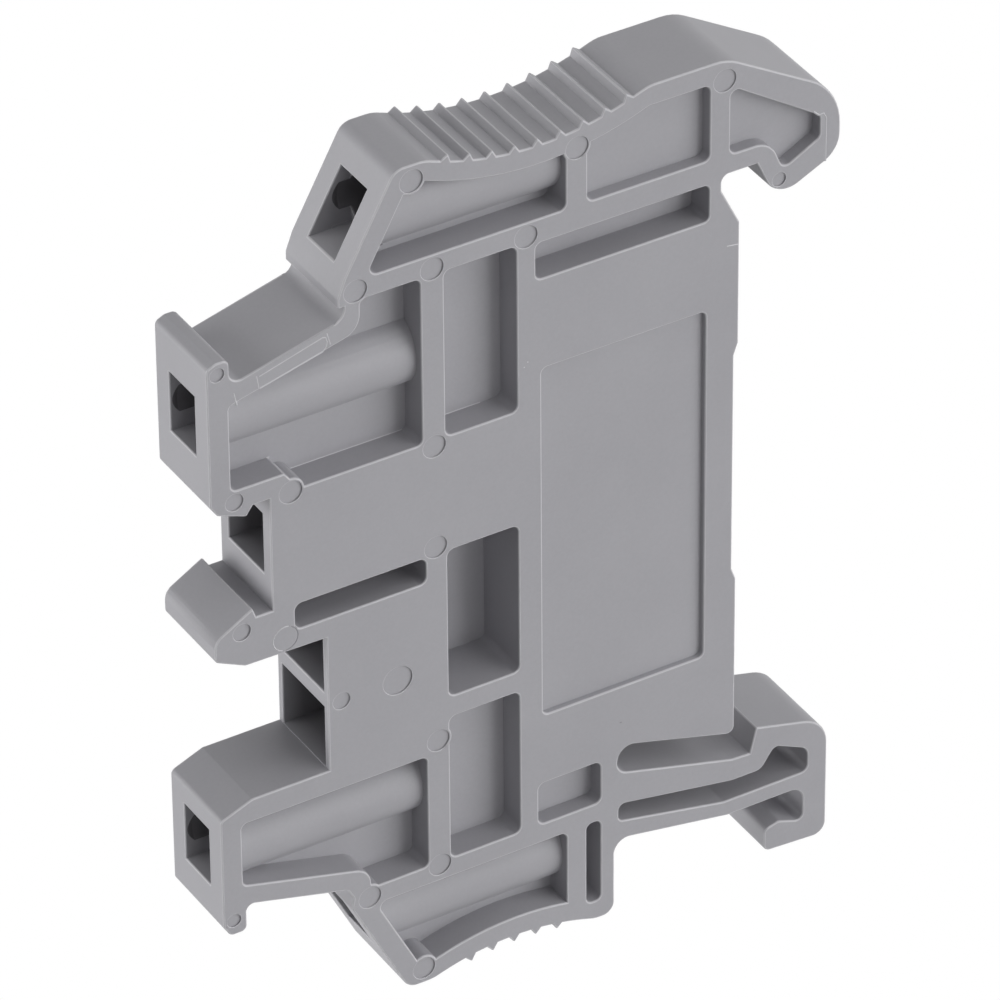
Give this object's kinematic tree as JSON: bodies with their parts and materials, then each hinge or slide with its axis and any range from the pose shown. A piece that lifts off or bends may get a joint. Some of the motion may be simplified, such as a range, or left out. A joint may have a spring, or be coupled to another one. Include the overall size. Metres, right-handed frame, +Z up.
{
  "type": "din rail end stop",
  "caption": "Flat one-piece moulded end clamp for a 35 mm top-hat rail, with a fixed hook, a sprung foot, toothed thumb grips and marker sockets",
  "frame": {"origin": "on the plane where the pads bear on the rail, on the rail's centreline, at mid-thickness", "axes": "+X points at the rail, +Z up along the rail's 35 mm width, +Y through the plate from the front face to the back face, which is the direction the rail runs in"},
  "size_m": [0.0364, 0.0052, 0.0507],
  "materials": {
    "grey_nylon": "grey moulded polyamide, fine matt spark-eroded texture, edges slightly rounded"
  },
  "bodies": {
    "root": {"end_stop_body": "grey_nylon"}
  },
  "joints": []
}
